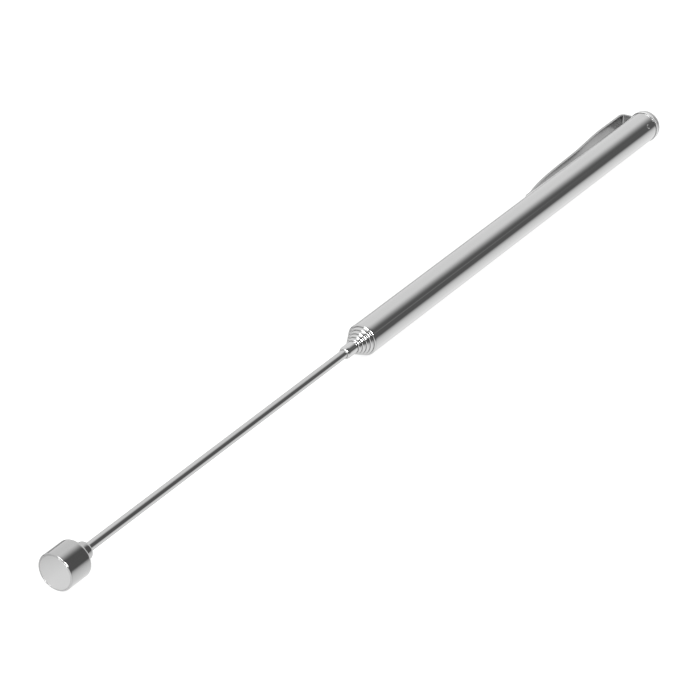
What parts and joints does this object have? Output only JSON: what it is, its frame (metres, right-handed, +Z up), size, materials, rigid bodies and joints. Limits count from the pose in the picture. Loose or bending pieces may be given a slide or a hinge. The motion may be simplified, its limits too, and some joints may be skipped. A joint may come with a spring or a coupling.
{
  "type": "magnetic pickup tool",
  "caption": "Pen-sized telescoping pickup tool: a round magnet in a steel cup on a slim rod, nested sliding tubes in a polished tubular handle, and a pocket clip.",
  "frame": {"origin": "centre of the magnet's working face, with the rod pulled out as it rests", "axes": "+X along the tool from the magnet to the end cap, +Z up, the tool lying on its side with its clip towards +Y and a little below level"},
  "size_m": [0.2261, 0.0101, 0.0078],
  "materials": {
    "handle_steel": "polished, with fine lengthwise drawing marks",
    "sliding_tubes": "polished nickel plate",
    "rod_steel": "drawn and polished",
    "head_steel": "turned, satin to bright",
    "magnet_nickel": "nickel plated and lapped",
    "clip_steel": "stamped spring steel, plated",
    "cap_steel": "turned",
    "spring_bronze": "phosphor bronze strip, bare"
  },
  "bodies": {
    "handle": {"handle_tube": "handle_steel", "end_cap": "cap_steel", "clip_ring": "clip_steel"},
    "clip": {"clip_arm": "clip_steel"},
    "section_1": {"section_1": "sliding_tubes", "friction_spring_1a": "spring_bronze", "friction_spring_1b": "spring_bronze"},
    "section_2": {"section_2": "sliding_tubes", "friction_spring_2a": "spring_bronze", "friction_spring_2b": "spring_bronze"},
    "section_3": {"section_3": "sliding_tubes", "friction_spring_3a": "spring_bronze", "friction_spring_3b": "spring_bronze"},
    "section_4": {"section_4": "sliding_tubes", "friction_spring_4a": "spring_bronze", "friction_spring_4b": "spring_bronze"},
    "section_5": {"section_5": "sliding_tubes", "friction_spring_5a": "spring_bronze", "friction_spring_5b": "spring_bronze"},
    "rod_springs": {"friction_spring_6a": "spring_bronze", "friction_spring_6b": "spring_bronze"},
    "head_rod": {"rod": "rod_steel", "ferrule": "head_steel", "magnet_cup": "head_steel", "magnet": "magnet_nickel"}
  },
  "joints": [
    {"name": "clip_flex", "type": "hinge", "parent": "handle", "child": "clip", "pos_m": [0.2236, 0.00446, -0.00031], "axis": [0, -0.0698, -0.9976], "range_deg": [0, 3], "stiffness_Nm_per_rad": 1.8, "springref_deg": -1.15},
    {"name": "section_1_slide", "type": "slide", "parent": "handle", "child": "section_1", "axis": [-1, 0, 0], "range_m": [0, 0.10915]},
    {"name": "section_2_slide", "type": "slide", "parent": "section_1", "child": "section_2", "axis": [-1, 0, 0], "range_m": [0, 0.10448]},
    {"name": "section_3_slide", "type": "slide", "parent": "section_2", "child": "section_3", "axis": [-1, 0, 0], "range_m": [0, 0.09981]},
    {"name": "section_4_slide", "type": "slide", "parent": "section_3", "child": "section_4", "axis": [-1, 0, 0], "range_m": [0, 0.09514]},
    {"name": "section_5_slide", "type": "slide", "parent": "section_4", "child": "section_5", "axis": [-1, 0, 0], "range_m": [-0.0026, 0.08787]},
    {"name": "rod_slide", "type": "slide", "parent": "section_5", "child": "rod_springs", "axis": [-1, 0, 0], "range_m": [-0.0858, 0]},
    {"name": "rod_spin", "type": "hinge", "parent": "rod_springs", "child": "head_rod", "pos_m": [0, 0, 0], "axis": [1, 0, 0], "continuous": true}
  ]
}
